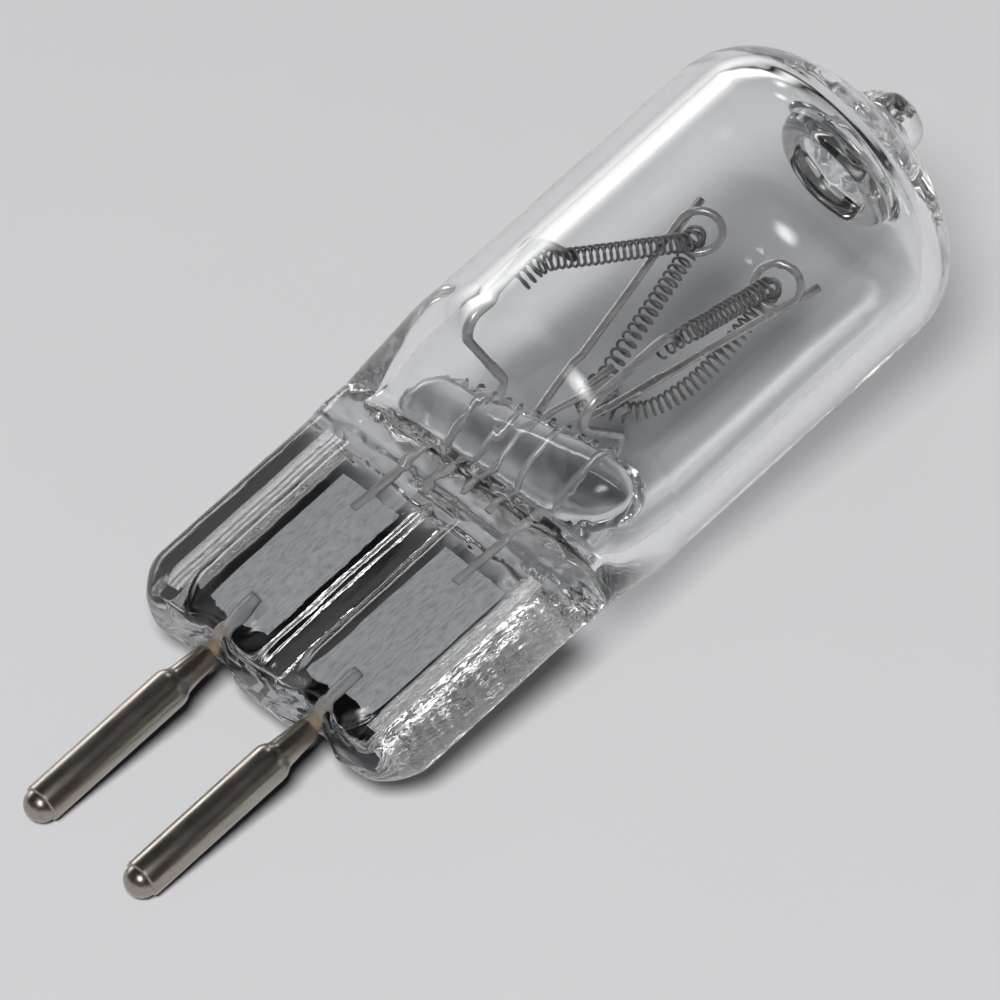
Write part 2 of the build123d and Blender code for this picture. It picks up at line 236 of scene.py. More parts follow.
def turned(name, profile, start):
    """Piece turned about the bulb's direction: a circle extruded and scaled along its stations."""
    disc = {"vertices": TURNED_SIDES, "radius": profile[0][1] * MM, "fill_type": "NGON"}
    piece = begin(name, bpy.ops.mesh.primitive_circle_add, **disc)
    bpy.ops.object.mode_set(mode="EDIT")
    bpy.ops.mesh.select_all(action="SELECT")
    for (a, r), (b, s) in zip(profile, profile[1:]):
        step = {"value": (0, 0, (b - a) * MM)}
        bpy.ops.mesh.extrude_region_move(TRANSFORM_OT_translate=step)
        bpy.ops.transform.resize(value=(s / r, s / r, 1))
    bpy.ops.object.mode_set(mode="OBJECT")
    piece.rotation_mode = "QUATERNION"
    piece.rotation_quaternion = ALONG.to_track_quat("Z", "Y")
    piece.location = start
    bpy.ops.object.transform_apply(location=True, rotation=True, scale=True)
    close_up(piece)
    bpy.ops.object.shade_smooth_by_angle(angle=TURNED_CREASE)
    return piece


WIRE_BEND = 0.45
BEND_STEPS = 7


def rounded(points):
    """Row of points with each inner corner turned on an arc."""
    row = [points[0]]
    for before, corner, after in zip(points, points[1:], points[2:]):
        into = (before - corner).normalized()
        out = (after - corner).normalized()
        half = into.angle(out) / 2
        reach = WIRE_BEND / math.tan(half)
        centre = corner + (into + out).normalized() * (WIRE_BEND / math.sin(half))
        first = corner + into * reach - centre
        last = corner + out * reach - centre
        for i in range(BEND_STEPS + 1):
            row.append(centre + first.slerp(last, i / BEND_STEPS))
    row.append(points[-1])
    return row


class Finish:
    """Procedural material in the making: short calls add its nodes and links."""

    def __init__(self, name):
        self.material = bpy.data.materials.new(name)
        self.material.use_nodes = True
        self.nodes = self.material.node_tree.nodes
        self.links = self.material.node_tree.links
        self.main = self.nodes["Principled BSDF"]

    def add(self, kind, **inputs):
        """New node with values or links on its inputs."""
        node = self.nodes.new(kind)
        for key, value in inputs.items():
            self.put(node, key.replace("_", " "), value)
        return node

    def put(self, node, key, value):
        if isinstance(value, bpy.types.NodeSocket):
            self.links.new(value, node.inputs[key])
        else:
            node.inputs[key].default_value = value

    def set(self, **inputs):
        """Values or links on the main shader."""
        for key, value in inputs.items():
            self.put(self.main, key.replace("_", " "), value)

    def where(self, stretch=(1, 1, 1)):
        """Object coordinates with X turned along the bulb, stretched for drawn or rolled marks."""
        start = self.add("ShaderNodeTexCoord").outputs["Object"]
        angle = (0, math.atan2(ALONG.z, ALONG.x), 0)
        node = self.add("ShaderNodeMapping", Vector=start, Rotation=angle, Scale=stretch)
        return node.outputs["Vector"]

    def noise(self, where, scale, detail, roughness=0.55):
        node = self.add(
            "ShaderNodeTexNoise", Vector=where, Scale=scale, Detail=detail, Roughness=roughness,
        )
        return node.outputs["Fac"]

    def ramp(self, value, stops):
        node = self.add("ShaderNodeValToRGB", Fac=value)
        while len(node.color_ramp.elements) < len(stops):
            node.color_ramp.elements.new(0.5)
        for element, (at, shade) in zip(node.color_ramp.elements, stops):
            element.position = at
            element.color = (*shade, 1)
        return node.outputs["Color"]

    def range(self, value, source, result):
        """Value carried over from one span to another and held at its ends."""
        node = self.add("ShaderNodeMapRange", Value=value)
        keys = ("From Min", "From Max", "To Min", "To Max")
        for key, limit in zip(keys, (*source, *result)):
            node.inputs[key].default_value = limit
        return node.outputs["Result"]

    def math(self, kind, first, second):
        node = self.nodes.new("ShaderNodeMath")
        node.operation = kind
        for i, value in enumerate((first, second)):
            self.put(node, i, value)
        return node.outputs["Value"]

    def part(self, where, axis):
        return self.add("ShaderNodeSeparateXYZ", Vector=where).outputs[axis]

    def between(self, low, high, soft=0.3):
        """Mask that is 1 between two stations along the bulb."""
        start = PIN_TIP.dot(ALONG)
        x = self.part(self.where(), "X")

        def edge(station, result):
            ends = [start + (station + reach) * MM for reach in (-soft, soft)]
            return self.range(x, ends, result)

        return self.math("MULTIPLY", edge(low, (0.0, 1.0)), edge(high, (1.0, 0.0)))

    def mix(self, fac, first, second):
        node = self.nodes.new("ShaderNodeMix")
        node.data_type = "RGBA"
        self.put(node, "Factor", fac)
        for key, value in ((6, first), (7, second)):
            linked = isinstance(value, bpy.types.NodeSocket)
            self.put(node, key, value if linked else (*value, 1))
        return node.outputs[2]

    def bump(self, height, strength, distance):
        """Fine relief of that height in millimetres."""
        node = self.add("ShaderNodeBump", Height=height, Strength=strength, Distance=distance * MM)
        self.set(Normal=node.outputs["Normal"])


def pressed_marks(f):
    """Lines drawn along the pinch, faint on the pads, and a crumpled rim on the right."""
    across = f.part(f.where(), "Y")
    from_pad = f.math("SUBTRACT", f.math("ABSOLUTE", across, 0.0), PAD_MIDDLE * MM)
    pad = f.math("ABSOLUTE", from_pad, 0.0)
    lines = f.noise(f.where((0.02, 1, 1)), scale=4600.0, detail=2.0, roughness=0.6)
    lines = f.math("MULTIPLY", lines, f.range(pad, (1.7 * MM, 1.95 * MM), (0.05, 0.35)))
    crumpled = f.noise(f.where((0.5, 1, 1)), scale=2400.0, detail=2.0)
    right = f.range(across, (-RIM_START * MM, -RIM_FULL * MM), (0.0, 1.6))
    lines = f.math("ADD", lines, f.math("MULTIPLY", crumpled, right))
    f.bump(f.math("MULTIPLY", lines, f.between(10.0, 18.7)), strength=0.5, distance=0.11)


def knurled_marks(f):
    """Ridges along the side channels with beads on them."""
    beads = f.noise(f.where((0.45, 1, 1)), scale=6500.0, detail=2.0)
    ridges = f.math("SINE", f.math("MULTIPLY", f.part(f.where(), "Y"), KNURL / MM), 0.0)
    height = f.math("ADD", f.math("MULTIPLY", ridges, 0.45), f.math("MULTIPLY", beads, 2.0))
    f.bump(height, strength=0.9, distance=0.12)
    f.set(Roughness=0.2)


def frosted_marks(f):
    """Fine grain of a broken face."""
    f.bump(f.noise(f.where(), scale=9000.0, detail=2.0), strength=0.5, distance=0.05)
    f.set(Roughness=0.45)


def drawn_marks(f):
    """Faint rings round the bulb, from turning the hot glass."""
    rings = f.noise(f.where((1, 0.04, 0.04)), scale=2600.0, detail=0.0)
    f.bump(rings, strength=0.25, distance=0.1)


QUARTZ_IOR = 1.458
SHADOW_BY_SLANT = ((0.0, 1.0), (0.7, 0.85), (1.0, 0.3))
SHOULDER_SHADE = (0.75, 0.755, 0.76)
LEAVING_SHADE = (0.92, 0.925, 0.93)

# Finishes of the glass in the order of its slots: name, marks, painted shade darkening the tint,
# shadow, clearness
GLASS_FINISHES = (
    ("clear_quartz", None, 1.0, 0.82, 1.0),
    # Pressed pinch: painted shade darkens its glass tint to 0.75
    ("pressed_quartz", pressed_marks, 0.75, 0.12, 1.0),
    ("knurled_quartz", knurled_marks, 1.0, 0.12, 0.82),
    ("drawn_quartz", drawn_marks, 1.0, 0.82, 1.0),
    # Seal ring: painted shade darkens its glass tint strongly, for a dark ring
    ("seal_quartz", None, 0.2, 0.82, 1.0),
    ("seal_middle", None, 1.0, 0.82, 0.8),
    ("snapped_quartz", frosted_marks, 1.0, 0.82, 0.6),
)
CLEAR, PRESSED, KNURLED, DRAWN, SEAL_RING, SEAL_MIDDLE, SNAPPED = range(len(GLASS_FINISHES))
ROD_FINISH = ("clear_rod", None, 1.0, 0.35, 1.0)


def quartz_finish(name, marks, painted_shade, shadow, clear):
    """Fused quartz: painted shade darkens its tint, shadow is the lamp light let in, least at
    slanting faces.
    """
    f = Finish(name)
    # Painted shade: the quartz tint is darkened to stand in for dark surroundings seen in the glass
    tint = [c * painted_shade for c in colours().quartz]
    f.set(Base_Color=(*tint, 1), Transmission_Weight=clear, IOR=QUARTZ_IOR, Roughness=0.0)
    if marks:
        marks(f)
    facing = f.add("ShaderNodeLayerWeight", Blend=0.5).outputs["Facing"]
    shade = f.ramp(facing, [(at, [shadow * part] * 3) for at, part in SHADOW_BY_SLANT])
    if marks is pressed_marks:
        shade = f.mix(f.between(-20.0, 18.9, 0.6), SHOULDER_SHADE, shade)
    leaving = f.add("ShaderNodeNewGeometry").outputs["Backfacing"]
    shade = f.mix(leaving, shade, LEAVING_SHADE)
    through = f.add("ShaderNodeBsdfTransparent", Color=shade).outputs["BSDF"]
    light = f.nodes.new("ShaderNodeLightPath")
    mix = f.nodes.new("ShaderNodeMixShader")
    f.links.new(light.outputs["Is Shadow Ray"], mix.inputs["Fac"])
    f.links.new(f.main.outputs["BSDF"], mix.inputs[1])
    f.links.new(through, mix.inputs[2])
    f.links.new(mix.outputs["Shader"], f.nodes["Material Output"].inputs["Surface"])
    return f.material


# Metals: colour, roughness, stretch and scale of streaks, their spread and bump, share of metal
METALS = {
    "satin_nickel": ("nickel", 0.3, (1, 14, 14), 420.0, 0.1, 0.06, 1.0),
    "heat_tinted_wire": ("wire", 0.34, (1, 10, 10), 500.0, 0.15, 0.2, 0.65),
    "rolled_foil": ("foil", 0.42, (0.02, 1, 1), 9500.0, 0.14, 0.3, 0.45),
    "grey_lead": ("wire", 0.32, (1, 8, 8), 600.0, 0.14, 0.2, 0.65),
    "grey_support": ("wire", 0.26, (1, 8, 8), 650.0, 0.14, 0.2, 0.65),
    "drawn_tungsten": ("coil", 0.34, (1, 1, 1), 1500.0, 0.16, 0.1, 0.75),
}


def metal_finish(name, heated=None):
    """Drawn or rolled metal with streaks and patches, tinted by heat between stations if asked."""
    shade, rough, stretch, scale, spread, bump, metallic = METALS[name]
    shade = tuple(getattr(colours(), shade))
    f = Finish(name)
    streaks = f.noise(f.where(stretch), scale, detail=6.0, roughness=0.6)
    patches = f.noise(f.where(), scale=700.0, detail=3.0)
    dark = [c * (1 - 2.2 * spread) for c in shade]
    light = [min(1.0, c * (1 + 1.2 * spread)) for c in shade]
    body = f.ramp(streaks, [(0.3, dark), (0.5, shade), (0.72, light)])
    if heated:
        body = f.mix(f.between(*heated), body, colours().heat)
    uneven = f.range(patches, (0.3, 0.7), (rough * 0.9, rough * 1.15))
    f.set(Metallic=metallic, Base_Color=body, Roughness=uneven)
    f.bump(streaks, bump, distance=0.02)
    return f.material


def dress(piece, material, slot, *nodes):
    """Gives a piece its finish and its place in the frame."""
    piece.data.materials.clear()
    piece.data.materials.append(material)
    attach(piece, "root")
    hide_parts(*nodes)
    return piece


# Columns and rows of the glass's mesh
OUTSIDE_COLUMNS, INSIDE_COLUMNS, SIDE_COLUMNS = 152, 56, 20
CORNER_ROWS, SHOULDER_ROWS, INNER_SHOULDER_ROWS, TUBE_ROWS, TIP_ROWS = 16, 32, 28, 14, 20
PINCH_ROW = 0.085

# How closely the columns of a pressed face stand, up to each distance from its middle
COLUMN_BANDS = ((1.3, 1.2), (1.8, 1.0), (4.3, 0.45), (4.8, 1.0), (5.8, 2.2))
FINE_STEPS = 2000


def pressed_columns():
    """Shares of a face's width where its columns stand: close in the grooves, wide on the pads."""
    half = mm("pinch_half_width")
    total = [0.0]
    for i in range(FINE_STEPS):
        w = abs((2 * i + 1) / FINE_STEPS - 1) * half
        total.append(total[-1] + next((close for limit, close in COLUMN_BANDS if w < limit), 1.0))
    shares, j = [], 0
    for i in range(OUTSIDE_COLUMNS):
        due = total[-1] * i / OUTSIDE_COLUMNS
        while total[j + 1] <= due:
            j += 1
        part = (due - total[j]) / (total[j + 1] - total[j])
        shares.append((j + part) / FINE_STEPS)
    return shares


def oval_ring(a, half_width, half_height, angle, shares, shrink=1.0):
    """Ring of four smooth arcs at one station, as (a, w, n), with its flat faces' columns given."""
    angle = math.radians(angle)
    apart = (half_width - half_height) / (math.cos(angle) + math.sin(angle) - 1)
    side = half_width - apart * math.cos(angle)
    top = side + apart
    x = half_width - side
    drop = apart * math.sin(angle)
    ring = []
    for sign in (1.0, -1.0):
        for i in range(SIDE_COLUMNS):
            t = -angle + 2 * angle * i / SIDE_COLUMNS
            w, n = x + side * math.cos(t), side * math.sin(t)
            ring.append((a, sign * w * shrink, sign * n * shrink))
        for share in shares:
            t = angle + (math.pi - 2 * angle) * share
            w, n = top * math.cos(t), top * math.sin(t) - drop
            ring.append((a, sign * w * shrink, sign * n * shrink))
    return ring


PINCH_ANGLE = 84
ROUND_ANGLE = 45
OUTER_SWELL, INNER_SWELL = 0.9, 1.2
INNER_TAPER = 0.3


def shoulder_shape(part, inset, curve):
    """Half width, half height and side angle of the shoulder, inset from the outside."""
    radius, flat = mm("tube_radius"), (1 - part) ** 2
    swell = math.sin(part * math.pi / 2) ** curve
    half_width = mm("pinch_half_width") + (radius - mm("pinch_half_width")) * part - inset
    half_width -= INNER_TAPER * inset * flat
    half_height = mm("pinch_half_height") + (radius - mm("pinch_half_height")) * swell - inset
    return half_width, half_height, ROUND_ANGLE + (PINCH_ANGLE - ROUND_ANGLE) * flat


def dome_line(inset, knuckle_rows, crown_rows, end):
    """Stations and radii of the tube and dome, up to the radius end, and the dome's top."""
    radius = mm("tube_radius") - inset
    crown = mm("crown_radius") - inset
    knuckle = mm("knuckle_radius") - inset
    tube, dome = mm("tube_start"), mm("dome_start")
    reach = math.sqrt((crown - knuckle) ** 2 - (radius - knuckle) ** 2)
    middle = dome - reach
    corner = math.atan2(radius - knuckle, reach)
    rows = [(tube + (dome - tube) * i / TUBE_ROWS, radius) for i in range(1, TUBE_ROWS + 1)]
    for i in range(1, knuckle_rows + 1):
        t = math.pi / 2 + (corner - math.pi / 2) * i / knuckle_rows
        rows.append((dome + knuckle * math.cos(t), radius - knuckle + knuckle * math.sin(t)))
    last = math.asin(end / crown)
    for i in range(1, crown_rows + 1):
        t = corner + (last - corner) * i / crown_rows
        rows.append((middle + crown * math.cos(t), crown * math.sin(t)))
    return rows, middle + crown


# Pressed pads, grooves and the ridges in them, in millimetres
PAD_START, PAD_HALF, PAD_CORNER = 0.35, 1.875, 1.5
GROOVE_START, GROOVE_HALF = 0.25, 5.7
CROWN_DEPTH, CROWN_REACH = 0.24, 0.6
RIDGE_MIDDLE, RIDGE_HALF = 0.15, 0.13
RIDGE_SHARE, KNURL_SHARE = 0.7, 0.4
LEDGE_RISE, LEDGE_HEIGHT = 0.16, 0.11
RIPPLE_HEIGHT, RIPPLE_PITCH = 0.01, 0.3


def pad_edge(a, w):
    """Distance outside the nearest raised pad, negative on the pad; its lower end is round."""
    low = mm("pinch_start") + PAD_START
    side = abs(abs(w) - PAD_MIDDLE) - PAD_HALF + PAD_CORNER
    down = low - a + PAD_CORNER
    reach = math.hypot(max(side, 0.0), max(down, 0.0))
    return reach + min(max(side, down), 0.0) - PAD_CORNER


def pinch_relief(a, w, sign):
    """Depth of the grooves and of the pads' rounded edges, less the ridges in the grooves."""
    low = mm("pinch_start") + GROOVE_START
    out = max(abs(w) - GROOVE_HALF, a - mm("pressed_end"), low - a)
    edge = max(-pad_edge(a, w), out)
    crown = 0.0
    if out < -0.14:
        crown = CROWN_DEPTH * (1 - min(max(edge, 0.0) / CROWN_REACH, 1.0)) ** 2
    sunk = smooth(0.02, -0.16, edge)
    off = w - RIDGE_MIDDLE - 0.05 * grain(0.4, a, sign, 2)
    broken = 0.6 + 0.4 * smooth(-0.3, 0.3, grain(1.0, 0.5 * a, 3, sign))
    ridge = math.exp(-((off / RIDGE_HALF) ** 2))
    ridge *= smooth(-0.1, -0.4, edge) * broken
    beads = 0.3 + 0.7 * smooth(-0.4, 0.4, grain(1.0, 2.6 * a, 6 * w, sign))
    knurl = 0.5 + 0.5 * math.sin(KNURL * w)
    knurl *= smooth(0.4, 0.25, abs(abs(w) - CHANNEL_MIDDLE)) * beads
    knurl *= smooth(-0.05, -0.2, edge)
    stand = (RIDGE_SHARE * ridge + KNURL_SHARE * knurl) * mm("bead_height")
    return max(crown, sunk * mm("channel_depth") - stand)


def pressed(a, w, n):
    """Pinch surface with its grooves, the ledge above them, waves and the rippled lower lip."""
    start, end, high = mm("pinch_start"), mm("pinch_end"), mm("pressed_end")
    sign = math.copysign(1, n)
    face = smooth(0.3, 0.8, abs(n))
    if start + 0.2 < a < high + 0.2 and abs(w) < 5.9:
        n -= sign * face * pinch_relief(a, w, sign)
    ledge = high + LEDGE_RISE
    ledge = ledge + 0.12 * grain(1.1, w, 3 * sign, 2) + 0.09 * grain(3.1, w, 3 * sign, 6)
    rise = smooth(ledge - 0.1, ledge + 0.1, a)
    n += sign * face * LEDGE_HEIGHT * rise * smooth(end + 2.5, end + 0.8, a)
    wave = 0.03 * grain(0.55, a, w, 4 * sign) + 0.012 * grain(1.6, a, w, 7 * sign)
    above = 0.07 * grain(1.3, a, w, 2 * sign) + 0.02 * grain(3.4, a, w, 8 * sign)
    wave += above * smooth(high, high + 0.6, a)
    rim = 0.04 * grain(1.0, 0.1 * a, 3.2 * w, 5 * sign)
    wave += rim * smooth(RIM_START, RIM_FULL, abs(w)) * smooth(high, high - 0.6, a)
    n += sign * face * wave * smooth(end + 2.5, end + 0.5, a) * smooth(start, start + 0.6, a)
    clear_of_pins = smooth(0.3, 1.5, abs(abs(w) - mm("pin_gap") / 2))
    lip = mm("lip") * clear_of_pins * smooth(7.0, 5.4, abs(w))
    lip *= 0.9 + 0.25 * grain(0.7, w, sign, 5)
    near = smooth(start + 1.6, start + 0.6, a) * smooth(0.05, 0.3, abs(n))
    phase = 2 * math.pi * (a - start + 0.5 * abs(n)) / RIPPLE_PITCH + 3 * grain(0.6, w, sign, 1)
    n += sign * near * RIPPLE_HEIGHT * math.cos(phase)
    return a - lip * smooth(start + 2.2, start, a), w, n


def tip_shape(a, w, n, top):
    """Sealed exhaust tip: a smooth lower lobe on the left, a crease and a broken right lobe."""
    high = smooth(top - 0.1, top + 0.9, a)
    a -= high * 0.3 * smooth(0.1, 1.0, w)
    a -= high * 0.3 * math.exp(-(((w - 0.3) / 0.32) ** 2))
    broken = high * smooth(0.2, -0.3, w)
    a += broken * (0.06 * grain(1.6, w, n, 2) - 0.06)
    swell = 1 - 0.04 * high * (1 + grain(0.9, a + 5, w, n))
    return a, w * swell, n * swell


PINCH_CORNER, PINCH_EDGE = 1.5, 0.75
TIP_EDGE = 1.85
TIP_BASE, TIP_HEIGHT, TIP_RADIUS, TIP_BLUNT = 0.56, 0.95, 1.5, 0.55
TUBE_WAVE = 0.0016

# Neck of the exhaust tip: height over the dome's top and radius
TIP_NECK = ((-0.14, 1.62), (-0.06, 1.46), (0.06, 1.36), (0.2, 1.34), (0.38, 1.4))


def envelope_outside():
    """Rings of the outside, from the pinch's lower end to the exhaust tip."""
    shares = pressed_columns()
    start, end, tube = mm("pinch_start"), mm("pinch_end"), mm("tube_start")
    width, height = mm("pinch_half_width"), mm("pinch_half_height")
    low = (start, width - PINCH_CORNER, height - PINCH_EDGE, PINCH_ANGLE)
    rings = [oval_ring(*low, shares, shrink) for shrink in (0.0, 0.3, 0.55, 0.75, 0.9)]
    for i in range(CORNER_ROWS + 1):
        t = math.pi / 2 * i / CORNER_ROWS
        short = 1 - math.sin(t)
        oval = (width - PINCH_CORNER * short, height - PINCH_EDGE * short, PINCH_ANGLE)
        rings.append(oval_ring(start + PINCH_CORNER * (1 - math.cos(t)), *oval, shares))
    first = start + PINCH_CORNER
    count = round((end - first) / PINCH_ROW)
    for i in range(1, count + 1):
        station = first + (end - first) * i / count
        rings.append(oval_ring(station, width, height, PINCH_ANGLE, shares))
    for i in range(1, SHOULDER_ROWS + 1):
        part = i / SHOULDER_ROWS
        shape = shoulder_shape(part, 0, OUTER_SWELL)
        rings.append(oval_ring(end + (tube - end) * part, *shape, shares))
    rings = [[pressed(*p) for p in ring] if ring[0][0] < end + 2.6 else ring for ring in rings]
    rows, top = dome_line(0, 16, 14, TIP_EDGE)
    rows += [(top + rise, r) for rise, r in TIP_NECK]
    for i in range(TIP_ROWS):
        t = math.pi / 2 * i / TIP_ROWS
        blunt = TIP_RADIUS * math.cos(t) ** TIP_BLUNT
        rows.append((top + TIP_BASE + TIP_HEIGHT * math.sin(t), blunt))
    rows.append((top + TIP_BASE + TIP_HEIGHT, 0.0))
    rings += [oval_ring(a, r, r, ROUND_ANGLE, shares) for a, r in rows]

    def uneven(a, w, n):
        if a > top - 0.3:
            return tip_shape(a, w, n, top)
        if a > tube - 1.5:
            swell = 1 - TUBE_WAVE * (1 + grain(0.28, a, w, n)) * smooth(tube - 1.5, tube, a)
            return a, w * swell, n * swell
        return a, w, n

    return [[place(*uneven(*p)) for p in ring] for ring in rings]


HOLLOW_DROP, HOLLOW_BOW = 0.15, 0.12
SEAL_EDGE = 3.15

# Seal inside the dome, from its ring to its middle: depth below the hollow's top and radius
SEAL_LINE = (
    (0.72, 2.95), (0.86, 2.8), (1.06, 2.7), (1.3, 2.65), (1.54, 2.59), (1.73, 2.49),
    (1.86, 2.35), (1.92, 2.19), (1.91, 2.02), (1.83, 1.88), (1.69, 1.78), (1.5, 1.72),
    (1.28, 1.68), (1.08, 1.6), (0.92, 1.46), (0.9, 1.32), (0.99, 1.16), (1.12, 0.98),
    (1.25, 0.78), (1.34, 0.56), (1.39, 0.32), (1.4, 0.14), (1.4, 0.0),
)


def envelope_inside():
    """Rings of the hollow, from the pinch to the seal's lumpy middle."""
    shares = [i / INSIDE_COLUMNS for i in range(INSIDE_COLUMNS)]
    wall, end, tube = mm("wall"), mm("pinch_end"), mm("tube_start")
    rings = []
    first = shoulder_shape(0, wall, INNER_SWELL)
    for shrink in (0.0, 0.4, 0.7, 0.9):
        rings.append(oval_ring(end + HOLLOW_BOW * shrink - HOLLOW_DROP, *first, shares, shrink))
    for i in range(INNER_SHOULDER_ROWS + 1):
        part = i / INNER_SHOULDER_ROWS
        shape = shoulder_shape(part, wall, INNER_SWELL)
        rings.append(oval_ring(end + (tube - end) * part, *shape, shares))
    rows, top = dome_line(wall, 14, 9, SEAL_EDGE)
    rows += [(top - drop, r) for drop, r in SEAL_LINE]
    rings += [oval_ring(a, r, r, ROUND_ANGLE, shares) for a, r in rows]

    def uneven(a, w, n):
        if a < end + 1.0:
            fade = smooth(end + 1.0, end, a)
            a += fade * (0.16 * grain(1.5, w, n, 3) + 0.06 * grain(4.2, w, n, 7) - 0.05)
            lift = fade * 0.1 * grain(1.2, w, a, 6) * smooth(0.0, 0.5, abs(n))
            n += lift * math.copysign(1, n)
        r = math.hypot(w, n)
        if r < 2.9 and a > top - 2.2:
            inner = smooth(2.9, 2.2, r)
            angle = math.atan2(n, w)
            lump = grain(1.0, 1.5 * math.cos(angle), 1.5 * math.sin(angle), a * 0.9)
            petal = smooth(1.75, 1.3, r) * smooth(0.2, 0.9, r)
            a -= petal * (0.3 * math.cos(6 * angle + 2 * lump) + 0.25 * lump) + inner * 0.05 * lump
            swell = 1 + inner * 0.025 * lump
            w, n = w * swell, n * swell
        return a, w, n

    return [[place(*uneven(*p)) for p in ring] for ring in rings]


# Stations and radii where the glass changes its finish, in millimetres
PRESSED_TOP, MARKED_DOME, MARKED_TIP = 19.2, 38.3, 41.95
KNURL_START, KNURL_END, KNURL_IN, KNURL_OUT = 10.1, 18.65, 4.95, 5.65
SEAL_TOP, SEAL_OUT, SEAL_IN = 40.2, 2.75, 1.7


def quartz_slot(spot):
    """Which of the glass's finishes a spot has."""
    a, w, n = (spot.dot(axis) / MM for axis in (ALONG, ACROSS, UP))
    if a < PRESSED_TOP:
        beaded = KNURL_IN < abs(w) < KNURL_OUT and KNURL_START < a < KNURL_END
        return KNURLED if beaded else PRESSED
    if a < MARKED_DOME:
        return CLEAR
    radius = math.hypot(w, n)
    if a > MARKED_TIP:
        return SNAPPED if w < -1.0 + 0.25 * grain(1.5, a, n, 1) else DRAWN
    if radius < SEAL_OUT and a < SEAL_TOP:
        return SEAL_RING if radius > SEAL_IN else SEAL_MIDDLE
    return DRAWN


class BULB_OT_envelope(Operator):
    """Make the clear quartz envelope with its pressed pinch, dome and exhaust tip"""

    bl_idname = "bulb.envelope"
    bl_label = "Quartz envelope"

    def execute(self, context):
        inside = wrap("envelope_inside", envelope_inside(), flip=True)
        outside = wrap("quartz_glass", envelope_outside())
        deselect()
        inside.select_set(True)
        outside.select_set(True)
        context.view_layer.objects.active = outside
        bpy.ops.object.join()
        clear, *others = [quartz_finish(*row) for row in GLASS_FINISHES]
        glass = dress(context.object, clear, "quartz", "quartz_envelope")
        for material in others:
            glass.data.materials.append(material)
        for face in glass.data.polygons:
            face.material_index = quartz_slot(face.center - PIN_TIP)
        return {"FINISHED"}


BRIDGE_ROWS, BRIDGE_COLUMNS = 180, 96
BRIDGE_BLUNT = 0.7
BRIDGE_SLACK, BRIDGE_WAVE = 0.985, 0.012
GROOVE_DEPTH, GROOVE_SPREAD = 0.07, 0.34
SEAM_PITCH, SEAM_SPREAD = 0.67, 0.16

# Place and height of the bumps along the bridge's seam, on the dome's side and on the pins' side
UPPER_SEAM, LOWER_SEAM = (0.46, 0.2), (0.0, 0.1)


def bridge_point(t, angle):
    """Point of the bridge's skin: t runs from end to end, angle round the rod."""
    radius, half = mm("bridge_radius"), mm("bridge_length") / 2
    flat = half - radius
    r, along = radius, t
    if abs(t) > flat:
        bow = (abs(t) - flat) / radius * math.pi / 2
        r = radius * max(math.cos(bow), 0.0) ** BRIDGE_BLUNT
        along = math.copysign(flat + radius * math.sin(bow), t)
    x, z = math.cos(angle), math.sin(angle)
    inner = smooth(flat + 0.7, flat - 0.4, abs(t))
    groove = math.exp(-((z / GROOVE_SPREAD) ** 2)) * inner
    seam, height = UPPER_SEAM if x > 0 else LOWER_SEAM
    bump = math.exp(-(((z - seam) / SEAM_SPREAD) ** 2)) * inner
    phase = 2 * math.pi * along / SEAM_PITCH + 2 * grain(0.7, along, 1, 1)
    bump *= 0.5 + 0.5 * math.cos(phase)
    r *= BRIDGE_SLACK - GROOVE_DEPTH * groove + bump * height
    r *= 1 + BRIDGE_WAVE * grain(0.8, along, x, z)
    tilt = sizes().bridge_tilt
    a = r * x
    station = mm("bridge_station") + a * math.cos(tilt) + along * math.sin(tilt)
    return place(station, a * math.sin(tilt) - along * math.cos(tilt), r * z)


class BULB_OT_bridge(Operator):
    """Make the quartz bridge that holds the wires"""

    bl_idname = "bulb.bridge"
    bl_label = "Quartz bridge"

    def execute(self, context):
        half = mm("bridge_length") / 2
        angles = [2 * math.pi * i / BRIDGE_COLUMNS for i in range(BRIDGE_COLUMNS)]
        rings = []
        for j in range(BRIDGE_ROWS + 1):
            t = -half + 2 * half * j / BRIDGE_ROWS
            rings.append([bridge_point(t, angle) for angle in angles])
        rod = wrap("quartz_rod", rings)
        dress(rod, quartz_finish(*ROD_FINISH), "quartz", "quartz_bridge")
        return {"FINISHED"}


PIN_DOME_HEIGHT, PIN_DOME_SHARE, PIN_DOME_ROWS = 0.6, 0.86, 12
PIN_LIFT = 0.004
PIN_HEATED = (8.6, 20.0, 0.8)

# Stations and shares of the radius along a pin, from its domed tip to the end of its swaged cone
PIN_LINE = (
    (0.62, PIN_DOME_SHARE), (0.64, 0.93), (0.68, 0.985), (0.74, 1.0), (3.0, 1.0), (5.2, 1.0),
    (7.1, 1.0), (7.2, 0.995), (7.3, 0.97), (7.4, 0.93), (7.48, 0.87), (7.55, 0.81),
    (7.62, 0.765), (7.75, 0.74), (8.2, 0.69), (8.7, 0.635), (9.05, 0.6), (9.15, 0.575),
    (9.2, 0.52), (9.21, 0.452),
)


def pin_profile():
    """Stations and radii of a pin."""
    radius = mm("pin_radius")
    rows = []
    for i in range(1, PIN_DOME_ROWS + 1):
        t = math.pi / 2 * i / PIN_DOME_ROWS
        rows.append((PIN_DOME_HEIGHT * (1 - math.cos(t)), radius * PIN_DOME_SHARE * math.sin(t)))
    return rows + [(a, radius * share) for a, share in PIN_LINE]


class BULB_OT_pins(Operator):
    """Make both contact pins"""

    bl_idname = "bulb.pins"
    bl_label = "Contact pins"

    def execute(self, context):
        material = metal_finish("satin_nickel", PIN_HEATED)
        profile = pin_profile()
        for name, side in SIDES:
            start = place(profile[0][0] + PIN_LIFT, side * mm("pin_gap") / 2, 0)
            dress(turned("pin_" + name, profile, start), material, "nickel", "pin_sleeve_" + name)
        return {"FINISHED"}


